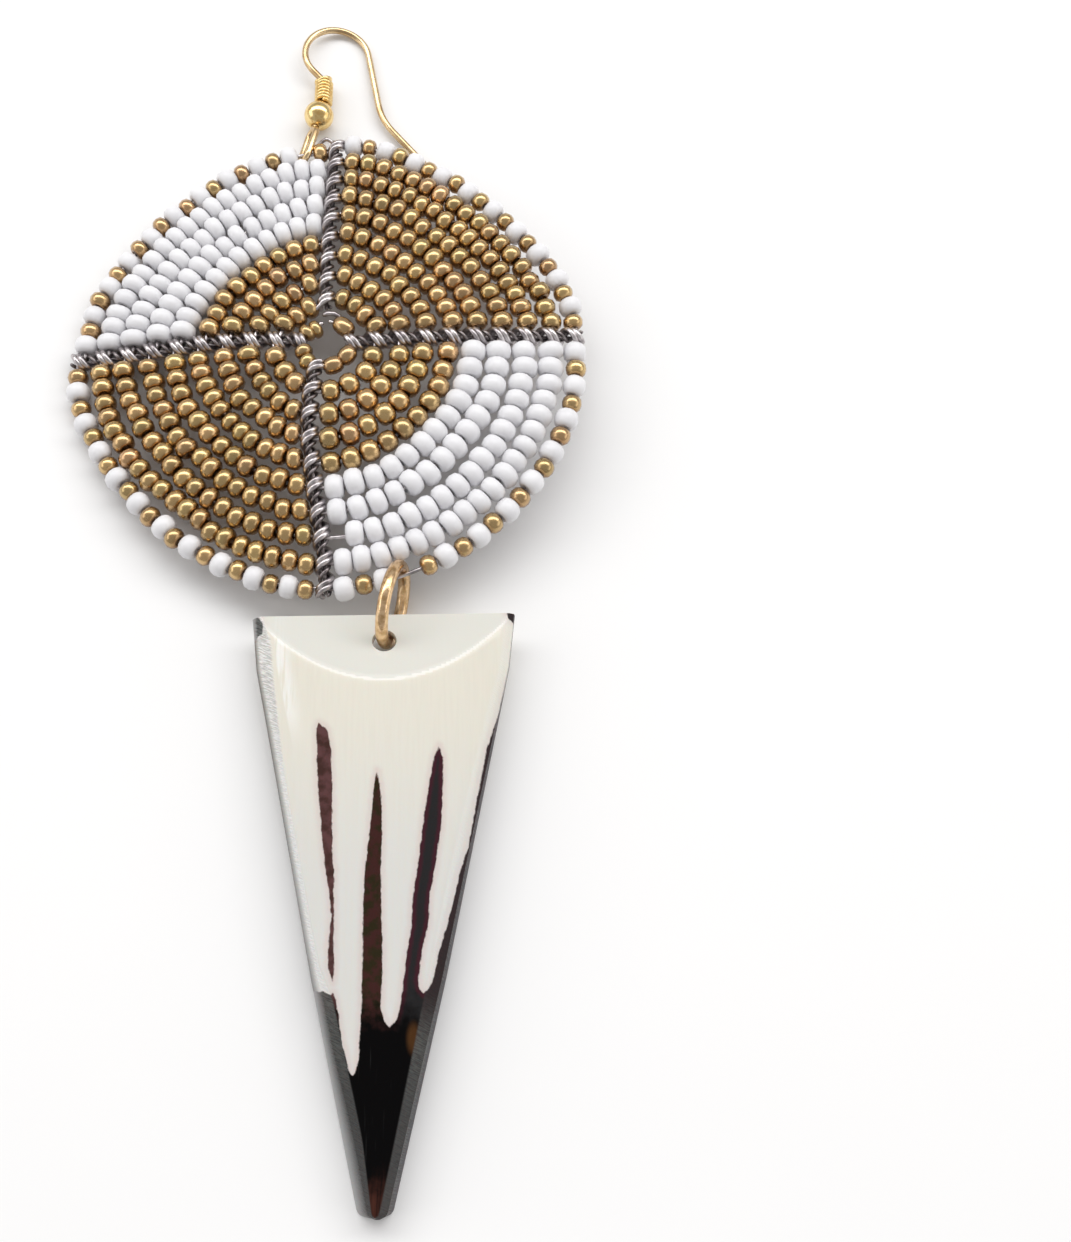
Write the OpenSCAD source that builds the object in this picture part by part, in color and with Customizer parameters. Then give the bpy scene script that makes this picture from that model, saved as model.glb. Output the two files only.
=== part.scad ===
// Beaded disc earring lying on a flat surface, seen face up.
// X runs to the right, Y from the tip of the drop to the ear hook, Z up from the surface.
// The origin is on the surface, under the middle of the whole outline.
// The disc, the jump ring and the drop are drawn out in line, so the jump ring stands
// on edge and holds up the lower rim of the disc and the top of the drop.

/* [Disc] */
// Radius of the first row of beads round the centre hole
first_row_r = 2.7; // [2.7:0.1:3.2]
// Distance from one row of beads to the next
row_pitch = 2.62; // [2.62:0.02:3]
// Height of the dome's middle over the rim
dome_h = 2.6; // [1:0.1:4]
// Fall of the disc to its left side, in degrees
disc_roll = 4.5; // [3:0.1:6]
// Fall of the disc to the ear hook, in degrees
disc_pitch = 1.9; // [1:0.1:2.5]

/* [Beads] */
// Diameter of a bronze bead
bronze_d = 2.2; // [1.8:0.05:2.3]
// Diameter of a white bead
white_d = 2.45; // [2:0.05:2.5]
// Length of a bead along its wire
bead_len = 1.76; // [1.4:0.02:1.8]
// Room between two beads on their wire
bead_gap = 0.08; // [0.04:0.01:0.15]
// Diameter of the wire that carries the beads
thread_d = 0.5; // [0.3:0.05:0.6]

/* [Spokes] */
// Diameter of a spoke between two rows
spoke_d = 0.8; // [0.6:0.05:0.9]
// Diameter of the wrap where a row's wire goes round a spoke
wrap_d = 0.96; // [0.92:0.02:1]
// Room from a spoke's middle to the first bead beside it
spoke_side = 0.95; // [0.95:0.05:1.2]

/* [Ear hook] */
// Diameter of the hook's wire
hook_wire_d = 0.75; // [0.6:0.05:0.8]
// Diameter of the ball
ball_d = 3.3; // [3:0.1:3.4]
// Outer diameter of the wound coil
coil_d = 1.95; // [1.7:0.05:2]
// Number of turns of the coil
coil_turns = 5; // [4:1:6]
// Radius of the arch
arch_r = 3.67; // [3.4:0.05:3.8]
// Length of the straight back leg, from the arch to the kink
leg_len = 7.1; // [6:0.1:7.5]
// Length of the straight end beyond the kink
tail_len = 6.7; // [4:0.1:7]

/* [Jump ring] */
// Radius of the ring, at the middle of its wire
ring_r = 4.1; // [3.8:0.05:4.1]
// Diameter of the ring's wire
ring_wire_d = 1.05; // [1:0.01:1.05]
// Lean of the ring to its left, in degrees
ring_lean = 10; // [8:1:12]

/* [Drop] */
// Width of the drop along its top edge
drop_w = 26.6; // [24:0.2:28]
// Length of the drop from its top edge to its tip
drop_len = 57.6; // [50:0.2:60]
// Thickness of the drop along its middle
drop_t = 4; // [3.6:0.1:4.4]
// Thickness of the drop at its top edge
drop_top_t = 1.2; // [1:0.1:1.4]
// Diameter of the drop's hole
hole_d = 2.3; // [2.3:0.1:2.6]
// Distance from the top edge to the middle of the hole
hole_in = 3; // [2.4:0.1:3]

/* [Hidden] */
$fn = 28;

bronze_color = "darkgoldenrod";
white_color = "white";
wire_color = "silver";
gold_color = "gold";
bone_color = "ivory";

// Middle of the whole outline, measured from the disc's middle
outline_mid = [0.05, -21.43];

row_count = 10;                 // the last one is the rim row
last_bronze_row = 5;            // of a quadrant that is white further out
rim_r = first_row_r + (row_count - 1) * row_pitch;

// The spokes, in turn round the disc. Columns: angle at the rim, and how many degrees the
// inner end is bent round from there.
at_rim = 0; bow = 1;
spokes = [
    [  6.0,   3],
    [ 90.5,   3],
    [181.8, -13],
    [271.8, -24]];

// The quadrants, each from its own spoke to the next. Columns: how far its rows lie out at
// the first spoke and at the last one, how far the middle rows lie out more than that, the
// sag of the inner and the outer rows half way, as a share of their radius, and whether
// its outer rows are white.
upper_right = 0; upper_left = 1; lower_left = 2; lower_right = 3;
out_first = 0; out_last = 1; more_first = 2; more_last = 3;
sag_inner = 4; sag_outer = 5; has_white = 6;
quadrants = [
    [ 0.45,  0.55, 0.0,  0.7, 0.060, 0.065, false],
    [-0.55, -0.45, 0.0,  0.0, 0.050, 0.050, true],
    [ 0.40,  0.10, 0.0,  0.0, 0.040, 0.042, false],
    [ 0.25,  0.20, 0.0, -0.5, 0.040, 0.015, true]];
first_outer_row = 8;

// Number of beads in each row of each quadrant, from the middle to the rim
bead_counts = [
    [1, 4, 6, 8, 10, 12, 14, 17, 18, 20],
    [2, 3, 5, 7,  9, 12, 14, 17, 19, 20],
    [2, 3, 6, 8, 11, 12, 15, 17, 20, 21],
    [2, 4, 6, 8, 10, 12, 14, 16, 19, 19]];

// Stretches of wire with no bead: quadrant, row, beads before it, and its length. The eye
// of the hook sits on the first one, and the jump ring on the second.
bare_quadrant = 0; bare_row = 1; bare_after = 2; bare_len = 3;
bare = [
    [upper_left,  10, 1, 1.7],
    [lower_right, 10, 3, 2.8],
    [lower_right,  8, 0, 1.5]];

function row_r(k) = first_row_r + (k - 1) * row_pitch;
function dome(r) = dome_h * (1 - pow(r / rim_r, 2));
function on_dome(r, a) = [r * cos(a), r * sin(a), dome(r)];
function unit(v) = v / norm(v);
function spoke_a(n, r) = spokes[n % 4][at_rim] + 360 * floor(n / 4)
    + spokes[n % 4][bow] * pow(1 - r / rim_r, 2);

// Radius of row k at share t of the way through quadrant q. Its ends lie out or in, and
// it sags between the spokes.
function row_out(q, k, t) = let (row = quadrants[q])
    (1 - 1 / k) * ((1 - t) * row[out_first] + t * row[out_last])
    + sin(180 * k / row_count) * ((1 - t) * row[more_first] + t * row[more_last]);
function row_sag(q, k) = quadrants[q][k < first_outer_row ? sag_inner : sag_outer];
function row_at(q, k, t) = row_out(q, k, t)
    + row_r(k) * (1 - row_sag(q, k) * pow(sin(180 * t), 2));

// Row k of quadrant q: its end angles, its length, its bare stretch and its beads
function row_from(q, k) = spoke_a(q, row_at(q, k, 0));
function row_to(q, k) = spoke_a(q + 1, row_at(q, k, 1));
function row_len(q, k) = (row_to(q, k) - row_from(q, k)) * PI / 180
    * (row_r(k) * (1 - row_sag(q, k) / 2) + row_out(q, k, 0.5));
function row_side(k) = (k == 1 ? 0.75 : 1) * spoke_side;
function bare_in(q, k) = [for (b = bare) if (b[bare_quadrant] == q && b[bare_row] == k) b];
function bare_before(q, k, i) = let (found = bare_in(q, k))
    len(found) > 0 && i >= found[0][bare_after] ? found[0][bare_len] : 0;
function bead_count(q, k) = bead_counts[q][k - 1];
function bead_step(q, k) = (row_len(q, k) - 2 * row_side(k)
    - bare_before(q, k, bead_count(q, k))) / bead_count(q, k);
function bead_at(q, k, i) = let (
    share = (row_side(k) + (i + 0.5) * bead_step(q, k) + bare_before(q, k, i)) / row_len(q, k),
    t = share - row_sag(q, k) / (4 * PI) * sin(360 * share))
    on_dome(row_at(q, k, t), row_from(q, k) + t * (row_to(q, k) - row_from(q, k)));

// Length of the beads of a row. Past the first rows it leaves room where a row bends, so
// that the ends of two beads stay apart.
first_even_row = 3;
function bead_l(q, k) = let (step = bead_step(q, k), turn = step / row_r(k) * 180 / PI)
    min(bead_len, step - bead_gap - (k < first_even_row ? 0 : 0.7 * white_d * tan(turn / 2)));
function is_white(q, k, i) = k == row_count
    ? (i % 2 == 0) == (q == lower_right)
    : quadrants[q][has_white] && k > last_bronze_row;

// The disc falls to one side and stands on its lowest rim bead.
function pitched(p) = [p.x, p.y * cos(disc_pitch) + p.z * sin(disc_pitch),
    p.z * cos(disc_pitch) - p.y * sin(disc_pitch)];
function rolled(p) = [p.x * cos(disc_roll) - p.z * sin(disc_roll), p.y,
    p.x * sin(disc_roll) + p.z * cos(disc_roll)];
lowest_bead_z = min([for (i = [0:bead_count(upper_left, row_count) - 1])
    rolled(pitched(bead_at(upper_left, row_count, i))).z]);
disc_z = white_d / 2 + 0.02 - lowest_bead_z;
function placed(p) = rolled(pitched(p)) + [0, 0, disc_z];

// The jump ring stands on the surface and holds the rim by the bare wire at lower right.
ring_turn = 12;                 // of the ring's plane from the Y axis, in degrees
ring_share = 0.36;              // of the way from one bead to the next, where it hangs
ring_z = ring_r * cos(ring_lean) + ring_wire_d / 2;
ring_along = [sin(ring_turn), cos(ring_turn), 0];
ring_up = [-sin(ring_lean) * cos(ring_turn), sin(ring_lean) * sin(ring_turn), cos(ring_lean)];
ring_hold = placed((1 - ring_share) * bead_at(lower_right, row_count, 2)
    + ring_share * bead_at(lower_right, row_count, 3));
ring_skew = 32;                 // of the rim's wire from square to the ring, in degrees
ring_reach = ring_r - ((ring_wire_d + thread_d) / 2 + 0.06) / cos(ring_skew);
ring_rise = asin((ring_hold.z - ring_z) / (ring_reach * cos(ring_lean)));
ring_at = ring_hold - ring_reach * (cos(ring_rise) * ring_along + sin(ring_rise) * ring_up);

// The drop hangs on the ring's other side and rests on its tip.
hole_fall = 8;                  // of the hole below the ring's middle, in degrees
hole_at = ring_at - ring_r * (cos(hole_fall) * ring_along + sin(hole_fall) * ring_up);
bevel_len = 6.4;                // of the flat bevel at the drop's top
bevel_slope = atan((drop_t - drop_top_t) / bevel_len);
hole_t = drop_top_t + hole_in * tan(bevel_slope);
drop_fall = asin((hole_at.z - hole_t / 2) / (drop_len - hole_in));
drop_turn = 0.9;                // of the drop's length from the Y axis, in degrees
top_skew = 1.8;                 // of the drop's top edge, in degrees
front_r = 32;                   // of the drop's round front
tip_w = 3.2;
tip_cut = 0.7;                  // off each corner of the tip
wall_lean = 20;                 // of the drop's side walls, in degrees
side_lean = 50;                 // of the bevels above the side walls, in degrees
wall_h_top = 0.75;              // height of a side wall at the drop's top
wall_h_tip = 2.75;              // height of a side wall at the tip

// The hook lies on its ball, the right of its arch and the end of its tail. X and Y of
// its own plane fall with the plane.
ball_at = [-2.42, 31.06, ball_d / 2 + 0.03];
hook_roll = 6.9;                // fall of the hook's plane to its right, in degrees
hook_pitch = 3.6;               // fall of the hook's plane to its arch, in degrees
hook_x = [cos(hook_roll), 0, -sin(hook_roll)];
hook_y = [-sin(hook_pitch) * sin(hook_roll), cos(hook_pitch),
    -sin(hook_pitch) * cos(hook_roll)];

// The eye reaches from the ball round the bare wire of the rim.
eye_r = 0.9;                    // of the eye's round ends, at the middle of the wire
to_rim = placed((bead_at(upper_left, row_count, 0) + bead_at(upper_left, row_count, 1)) / 2)
    - ball_at;
hook_lean = atan((to_rim * hook_x) / (to_rim * hook_y));
eye_skew = 22;                  // of the rim's wire from square to the eye, in degrees
eye_from = ball_d / 2 + hook_wire_d / 2 + 0.08;
eye_to = norm([to_rim * hook_x, to_rim * hook_y])
    + ((thread_d + hook_wire_d) / 2 + 0.08) / cos(eye_skew);

// The coil starts clear of the ball, where the wire has bent upright.
coil_from = 1.95;               // above the ball's middle
coil_bend_r = 1;                // of the bend under the coil
coil_play = 0.05;               // between the coil and the hook's wire
coil_wire_d = (coil_d - hook_wire_d) / 2 - coil_play;
coil_pitch = 0.95 * coil_wire_d;
coil_len = coil_turns * coil_pitch;
stem_len = eye_from + (coil_from - coil_bend_r * sin(hook_lean)) / cos(hook_lean);

// The hook's wire from the eye to its end. Columns: length of a straight stretch, and the
// turn that follows it, to the left, in degrees, with its radius.
straight = 0; turn = 1; turn_r = 2;
hook_route = [
    [stem_len, hook_lean, coil_bend_r],
    [coil_len,      44.4, 0.6],
    [1.6,         -213.4, arch_r],
    [leg_len,       31.8, 6.8],
    [tail_len,         0, 0]];

// A place on the route is a point and a heading. Each stretch and each turn moves it on.
function ahead(p, h, len) = [p.x + len * cos(h), p.y + len * sin(h), 0];
function turned(p, h, a, r) = let (s = sign(a), c = ahead(p, h + s * 90, r))
    ahead(c, h - s * 90 + a, r);
function heading(i) = i == 0 ? 90 - hook_lean : heading(i - 1) + hook_route[i - 1][turn];
function start(i) = i == 0 ? ahead([0, 0, 0], heading(0), -eye_from)
    : let (r = hook_route[i - 1])
        turned(ahead(start(i - 1), heading(i - 1), r[straight]),
            heading(i - 1), r[turn], r[turn_r]);

module to_origin() translate([-outline_mid.x, -outline_mid.y, 0]) children();
module on_disc() to_origin() translate([0, 0, disc_z])
    rotate([0, -disc_roll, 0]) rotate([-disc_pitch, 0, 0]) children();
module on_hook() to_origin() translate(ball_at)
    rotate([0, hook_roll, 0]) rotate([-hook_pitch, 0, 0]) children();
module on_drop() to_origin() translate(hole_at)
    rotate([0, 0, drop_turn]) rotate([drop_fall, 0, 0])
        translate([0, hole_in, -hole_t / 2]) children();

// Turns the Z axis of its children to run from a to b, and starts them at a.
module along(a, b) {
    d = b - a;
    translate(a) rotate([0, acos(d.z / norm(d)), atan2(d.y, d.x)]) children();
}

module rod(a, b, d) along(a, b) cylinder(d = d, h = norm(b - a));

// A ball with its ends cut flat, pointing from at toward another point.
module bead(at, toward, d, len) along(at, toward)
    intersection() {
        sphere(d = d);
        cube([2 * d, 2 * d, len], center = true);
    }

// The beads of row k, with the wire that shows between them.
module row_of_beads(q, k) {
    last = bead_count(q, k) - 1;
    len = bead_l(q, k);
    for (i = [0:last]) {
        at = bead_at(q, k, i);
        next = bead_at(q, k, min(i + 1, last));
        along_row = last == 0 ? turn_at(q, k, 1) - turn_at(q, k, 0)
            : next - bead_at(q, k, max(i - 1, 0));
        bead(at, at + along_row, is_white(q, k, i) ? white_d : bronze_d, len);
        if (i < last) {
            inside = (len / 2 - 0.2) * unit(next - at);
            rod(at + inside, next - inside, thread_d);
        }
    }
}

// The end of row k's wire, beside the first spoke (end = 0) or the last (end = 1)
turn_side = 0.76;               // of the wire from the spoke's middle
turn_d = 0.4;
function turn_at(q, k, end) = let (r = row_at(q, k, end), off = turn_side / r * 180 / PI)
    on_dome(r, end == 0 ? row_from(q, k) + off : row_to(q, k) - off);

module row_end(q, k, end) {
    at = bead_at(q, k, end == 0 ? 0 : bead_count(q, k) - 1);
    rod(turn_at(q, k, end), at - 0.5 * unit(at - turn_at(q, k, end)), turn_d);
}

// Rows from the first to the last, where each one's wire turns into the next at a spoke.
module rows(q, first, last) for (k = [first:last]) {
    row_of_beads(q, k);
    if (k < last) {
        end = k % 2;
        row_end(q, k, end);
        row_end(q, k + 1, end);
        lap = 0.12 * unit(turn_at(q, k + 1, end) - turn_at(q, k, end));
        rod(turn_at(q, k, end) - lap, turn_at(q, k + 1, end) + lap, 1.1 * turn_d);
    }
}

module bronze_rows(q) color(bronze_color) on_disc()
    rows(q, 1, quadrants[q][has_white] ? last_bronze_row : row_count - 1);

module white_rows(q) color(white_color) on_disc() rows(q, last_bronze_row + 1, row_count - 1);

module rim_row(q) color(white_color) on_disc() {
    row_of_beads(q, row_count);
    for (end = [0, 1]) row_end(q, row_count, end);
}

// Spoke n follows the dome from the first row past the rim row, and each row's wire
// wraps it.
spoke_start = 0.5;              // of a spoke, outside the first row
spoke_over = 0.9;               // of a spoke, past the rim row
function on_spoke(n, k) = let (r = row_r(k) + (k == 1 ? spoke_start : 0)) on_dome(r, spoke_a(n, r));

module spoke(n) color(wire_color) on_disc() {
    for (k = [1:row_count]) translate(on_spoke(n, k)) sphere(d = wrap_d);
    for (k = [1:row_count - 1]) rod(on_spoke(n, k), on_spoke(n, k + 1), spoke_d);
    rim = on_spoke(n, row_count);
    rod(rim, rim + spoke_over * unit(rim - on_spoke(n, row_count - 1)), spoke_d);
}

// A bend of round wire about c in the XY plane, from angle a, through turn degrees.
module bend(c, r, a, turn, d) translate([c.x, c.y, 0])
    rotate([0, 0, min(a, a + turn)])
        rotate_extrude(angle = abs(turn)) translate([r, 0]) circle(d = d);

// Where a bend of the hook's wire meets a straight stretch, a hair more wire makes them one.
module joint(p, h) {
    half = ahead([0, 0, 0], h, 0.05);
    rod(p - half, p + half, hook_wire_d + 0.02);
}

// The long eye stands on edge. Its X axis runs away from the ball.
module hook_eye() rotate([0, 0, -90 - hook_lean]) rotate([90, 0, 0]) {
    near = eye_from + eye_r;
    far = eye_to - eye_r;
    for (y = [-eye_r, eye_r]) {
        rod([near, y, 0], [far, y, 0], hook_wire_d);
        for (x = [near, far]) joint([x, y, 0], 0);
    }
    bend([near, 0], eye_r, 90, 180, hook_wire_d);
    bend([far, 0], eye_r, -90, 180, hook_wire_d);
}

module ear_hook() color(gold_color) on_hook() {
    hook_eye();
    for (i = [0:len(hook_route) - 1]) {
        row = hook_route[i];
        bend_from = ahead(start(i), heading(i), row[straight]);
        rod(start(i), bend_from, hook_wire_d);
        if (row[turn] != 0) {
            side = heading(i) + sign(row[turn]) * 90;
            bend(ahead(bend_from, side, row[turn_r]), row[turn_r], side + 180,
                row[turn], hook_wire_d);
            joint(bend_from, heading(i));
            joint(start(i + 1), heading(i + 1));
        }
    }
}

// Turns of wire side by side round the hook's straight stretch above the ball
module hook_coil() color(gold_color) on_hook() {
    coil_start = start(1) + [0, coil_pitch / 2, 0];
    along(coil_start, coil_start + [0, 1, 0])
        rotate_extrude() for (i = [0:coil_turns - 1])
            translate([(coil_d - coil_wire_d) / 2, i * coil_pitch])
                circle(d = coil_wire_d);
}

module hook_ball() color(gold_color) on_hook() difference() {
    sphere(d = ball_d);
    way = ahead([0, 0, 0], heading(0), ball_d);
    rod(-way, way, hook_wire_d + 0.1);
}

module jump_ring() color(gold_color) to_origin() translate(ring_at)
    multmatrix([for (i = [0:2]) [ring_along[i], ring_up[i], cross(ring_along, ring_up)[i], 0]])
        rotate_extrude() translate([ring_r, 0]) circle(d = ring_wire_d);

function top_corner(s) = [s * drop_w / 2, s * drop_w / 2 * tan(top_skew)];
function tip_corner(s) = [s * tip_w / 2, -drop_len];

// The space above a plane that runs down one side of the drop. It rises from height h0 at
// the top corner to h1 at the tip, and leans inward from upright.
module above_side(s, h0, h1, lean) {
    d = tip_corner(s) - top_corner(s);
    translate([each top_corner(s), h0])
        rotate([0, 0, atan2(d.y, d.x) + 90]) rotate([-atan((h1 - h0) / norm(d)), 0, 0])
            rotate([0, -s * lean, 0])
                translate([s > 0 ? 0 : -20, -2 * drop_len, -20]) cube([20, 4 * drop_len, 60]);
}

module bone_drop() color(bone_color) on_drop() difference() {
    intersection() {
        linear_extrude(height = drop_t + 1)
            polygon([top_corner(-1), top_corner(1),
                tip_corner(1) + [tip_cut / 3, tip_cut], tip_corner(1) - [tip_cut, 0],
                tip_corner(-1) + [tip_cut, 0], tip_corner(-1) + [-tip_cut / 3, tip_cut]]);
        translate([0, drop_w, drop_t - front_r]) rotate([90, 0, 0])
            cylinder(r = front_r, h = 2 * drop_len, $fn = 180);
    }
    translate([0, 0, drop_top_t]) rotate([-bevel_slope, 0, 0])
        translate([-drop_w, -drop_len, 0]) cube([2 * drop_w, 2 * drop_len, drop_len]);
    for (s = [-1, 1]) {
        above_side(s, 0, 0, wall_lean);
        above_side(s, wall_h_top, wall_h_tip, side_lean);
    }
    translate([0, -hole_in, -1]) cylinder(d = hole_d, h = drop_t + 2, $fn = 48);
}

ear_hook();
hook_coil();
hook_ball();
jump_ring();
bone_drop();
spoke(upper_right);  // spoke_right
spoke(upper_left);  // spoke_top
spoke(lower_left);  // spoke_left
spoke(lower_right);  // spoke_bottom
bronze_rows(upper_right);  // bronze_rows_upper_right
bronze_rows(upper_left);  // bronze_rows_upper_left
bronze_rows(lower_left);  // bronze_rows_lower_left
bronze_rows(lower_right);  // bronze_rows_lower_right
white_rows(upper_left);  // white_rows_upper_left
white_rows(lower_right);  // white_rows_lower_right
rim_row(upper_right);  // rim_row_upper_right
rim_row(upper_left);  // rim_row_upper_left
rim_row(lower_left);  // rim_row_lower_left
rim_row(lower_right);  // rim_row_lower_right
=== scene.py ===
# Beaded drop earring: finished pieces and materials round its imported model.
# Shapes are worked out in millimetres and become metres when their mesh is made.
from math import asin, atan, cos, pi, radians, sin, tan

import bmesh
import bpy
import numpy as np
from mathutils import Matrix


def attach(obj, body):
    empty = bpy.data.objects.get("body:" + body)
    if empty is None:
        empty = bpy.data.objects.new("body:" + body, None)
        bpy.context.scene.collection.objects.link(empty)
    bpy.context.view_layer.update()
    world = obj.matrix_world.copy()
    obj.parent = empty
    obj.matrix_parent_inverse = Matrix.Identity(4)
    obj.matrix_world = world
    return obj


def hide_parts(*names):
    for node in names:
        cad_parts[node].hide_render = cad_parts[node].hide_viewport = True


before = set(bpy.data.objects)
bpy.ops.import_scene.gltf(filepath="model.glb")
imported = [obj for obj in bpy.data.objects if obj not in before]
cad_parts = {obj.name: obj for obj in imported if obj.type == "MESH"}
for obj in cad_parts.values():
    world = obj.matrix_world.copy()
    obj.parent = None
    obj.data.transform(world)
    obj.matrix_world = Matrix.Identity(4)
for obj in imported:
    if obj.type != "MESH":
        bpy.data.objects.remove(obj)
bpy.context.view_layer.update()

scene = bpy.context.scene
mm = 0.001
up = np.array([0, 0, 1])
outlineMid = np.array([0.05, -21.43, 0.0])   # from the disc's middle to the part's origin
nudge = 1e-3                                 # between two near points that give a direction
roundEnd = {"out": 0.72, "wide": 0.7}        # ring of a tube's end, in shares of its radius


# Vectors made one long, along the last axis.
def unit(v):
    return v / np.linalg.norm(v, axis=-1, keepdims=True)


# Even turns all the way round, as a column.
def fullTurn(count):
    return np.linspace(0, 2 * pi, count, endpoint=False)[:, None]


# From the first vector toward the second by a turn: cosine of one and sine of the other.
def swung(first, second, turn):
    return first * np.cos(turn) + second * np.sin(turn)


# Quads of a grid of points, numbered row by row; a closed way joins its last line to its first.
def gridFaces(rows, columns, closeRows=False, closeColumns=False):
    i, j = np.meshgrid(np.arange(rows - (not closeRows)), np.arange(columns - (not closeColumns)),
                       indexing="ij")
    below, right = (i + 1) % rows, (j + 1) % columns
    quads = [i * columns + j, i * columns + right, below * columns + right, below * columns + j]
    return np.stack(quads, -1).reshape(-1, 4)


# The same quads again for each of many copies that have count points each.
def repeated(faces, copies, count):
    return (faces[None] + (np.arange(copies) * count)[:, None, None]).reshape(-1, faces.shape[1])


# An object for a mesh, a lamp or a camera, in the scene.
def linked(name, data):
    thing = bpy.data.objects.new(name, data)
    scene.collection.objects.link(thing)
    return thing


# Attributes that a material reads: one number for each point of the mesh.
def giveValues(mesh, values):
    for key, column in values.items():
        mesh.attributes.new(key, "FLOAT", "POINT").data.foreach_set("value", np.float32(column))


# A mesh in the part's frame. Points that meet are merged, and faces are turned outward.
def makePiece(name, parts, material, replaced=(), values=None):
    points = np.concatenate([p.reshape(-1, 3) for p, f in parts])
    starts = np.cumsum([0] + [p.size // 3 for p, f in parts[:-1]])
    faces = np.concatenate([f + s for (p, f), s in zip(parts, starts)])
    mesh = bpy.data.meshes.new(name)
    mesh.from_pydata(points * mm, [], faces, shade_flat=False)
    giveValues(mesh, values or {})
    closed = bmesh.new()
    closed.from_mesh(mesh)
    bmesh.ops.remove_doubles(closed, verts=closed.verts, dist=1e-4 * mm)
    bmesh.ops.recalc_face_normals(closed, faces=closed.faces)
    closed.to_mesh(mesh)
    closed.free()
    mesh.materials.append(material)
    piece = linked(name, mesh)
    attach(piece, "root")
    if replaced:
        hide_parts(*replaced)
    return piece


# A round tube along each path of an array (..., points, 3). Every point gets a ring of sides
# square to the path, and the ring starts toward the reference vector. A path that isn't
# closed gets two smaller rings at each end, so that it ends round.
def tube(path, radius, sides, reference, closed=False):
    path = np.asarray(path, float)
    reference = np.broadcast_to(np.asarray(reference, float), path.shape)
    radii = np.full(path.shape[-2], float(radius))
    if not closed:
        ends = unit(path[..., [0, -1], :] - path[..., [1, -2], :]) * radius
        steps = np.array([[1.0], [roundEnd["out"]]])
        path = np.concatenate([path[..., :1, :] + ends[..., :1, :] * steps, path,
                               path[..., -1:, :] + ends[..., 1:, :] * steps[::-1]], -2)
        reference = np.concatenate([reference[..., [0, 0], :], reference,
                                    reference[..., [-1, -1], :]], -2)
        endR = roundEnd["wide"] * radius
        radii = np.concatenate([[0, endR], radii, [endR, 0]])
    ahead = np.roll(path, -1, -2) - np.roll(path, 1, -2)
    if not closed:
        ahead[..., [0, -1], :] = path[..., [1, -1], :] - path[..., [0, -2], :]
    side = unit(np.cross(ahead, reference))
    lift = unit(np.cross(side, ahead))
    ring = swung(lift[..., None, :], side[..., None, :], fullTurn(sides))
    points = path[..., None, :] + ring * radii[:, None, None]
    rows = path.shape[-2]
    copies = points.size // (3 * rows * sides)
    return points, repeated(gridFaces(rows, sides, closed, True), copies, rows * sides)


# A value in a shader. Arithmetic on it adds the Math nodes.
class Value:
    def __init__(self, shader, socket):
        self.shader, self.socket = shader, socket

    def math(self, operation, *terms):
        return self.shader.node("Math", {"operation": operation}, dict(enumerate(terms)))

    def __add__(self, other):
        return self.math("ADD", self, other)

    def __radd__(self, other):
        return self.math("ADD", other, self)

    def __sub__(self, other):
        return self.math("SUBTRACT", self, other)

    def __rsub__(self, other):
        return self.math("SUBTRACT", other, self)

    def __mul__(self, other):
        return self.math("MULTIPLY", self, other)

    def __rmul__(self, other):
        return self.math("MULTIPLY", other, self)

    def __pow__(self, other):
        return self.math("POWER", self, other)

    def __abs__(self):
        return self.math("ABSOLUTE", self)


# A material with one Principled shader, and short names for the nodes that feed it.
class Shader:
    def __init__(self, name, **sockets):
        self.material = bpy.data.materials.new(name)
        self.material.use_nodes = True
        self.tree = self.material.node_tree
        self.surface = self.tree.nodes["Principled BSDF"]
        self.feed(**sockets)

    # Adds a node of a type, sets its settings, then the values or links of its sockets.
    def node(self, kind, settings, sockets, output=0):
        made = self.tree.nodes.new("ShaderNode" + kind)
        for key, setting in settings.items():
            if key == "stops":
                while len(made.color_ramp.elements) < len(setting):
                    made.color_ramp.elements.new(0.5)
                for element, (place, color) in zip(made.color_ramp.elements, setting):
                    element.position = place
                    element.color = color
            else:
                setattr(made, key, setting)
        for key, value in sockets.items():
            self.join(made.inputs[key], value)
        return Value(self, made.outputs[output])

    def join(self, socket, value):
        if isinstance(value, Value):
            self.tree.links.new(value.socket, socket)
        else:
            socket.default_value = value

    # Socket names of the surface in camelCase, such as baseColor.
    def feed(self, **sockets):
        named = {socket.name.replace(" ", "").lower(): socket for socket in self.surface.inputs}
        for key, value in sockets.items():
            self.join(named[key.lower()], value)

    def attribute(self, name):
        return self.node("Attribute", {"attribute_name": name}, {}, "Fac")

    def place(self):
        return self.node("TexCoord", {}, {}, "Object")

    def vector(self, x, y, z=0.0):
        return self.node("CombineXYZ", {}, {0: x, 1: y, 2: z})

    def noise(self, place, scale, detail=2.0, roughness=0.5):
        return self.node("TexNoise", {}, {"Vector": place, "Scale": scale, "Detail": detail,
                                          "Roughness": roughness}, "Fac")

    # 0 below the first value, 1 above the second, and smooth between them.
    def step(self, value, low, high):
        return self.node("MapRange", {"interpolation_type": "SMOOTHSTEP"},
                         {0: value, 1: low, 2: high, 3: 0.0, 4: 1.0})

    def mix(self, share, first, second, blend="MIX"):
        return self.node("Mix", {"data_type": "RGBA", "blend_type": blend},
                         {0: share, 6: first, 7: second}, 2)

    def ramp(self, value, *stops):
        return self.node("ValToRGB", {"stops": stops}, {0: value})

    def bump(self, height, distance, strength=1.0):
        return self.node("Bump", {}, {"Height": height, "Distance": distance,
                                      "Strength": strength})


def grey(level):
    return (level, level, level, 1.0)


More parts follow.
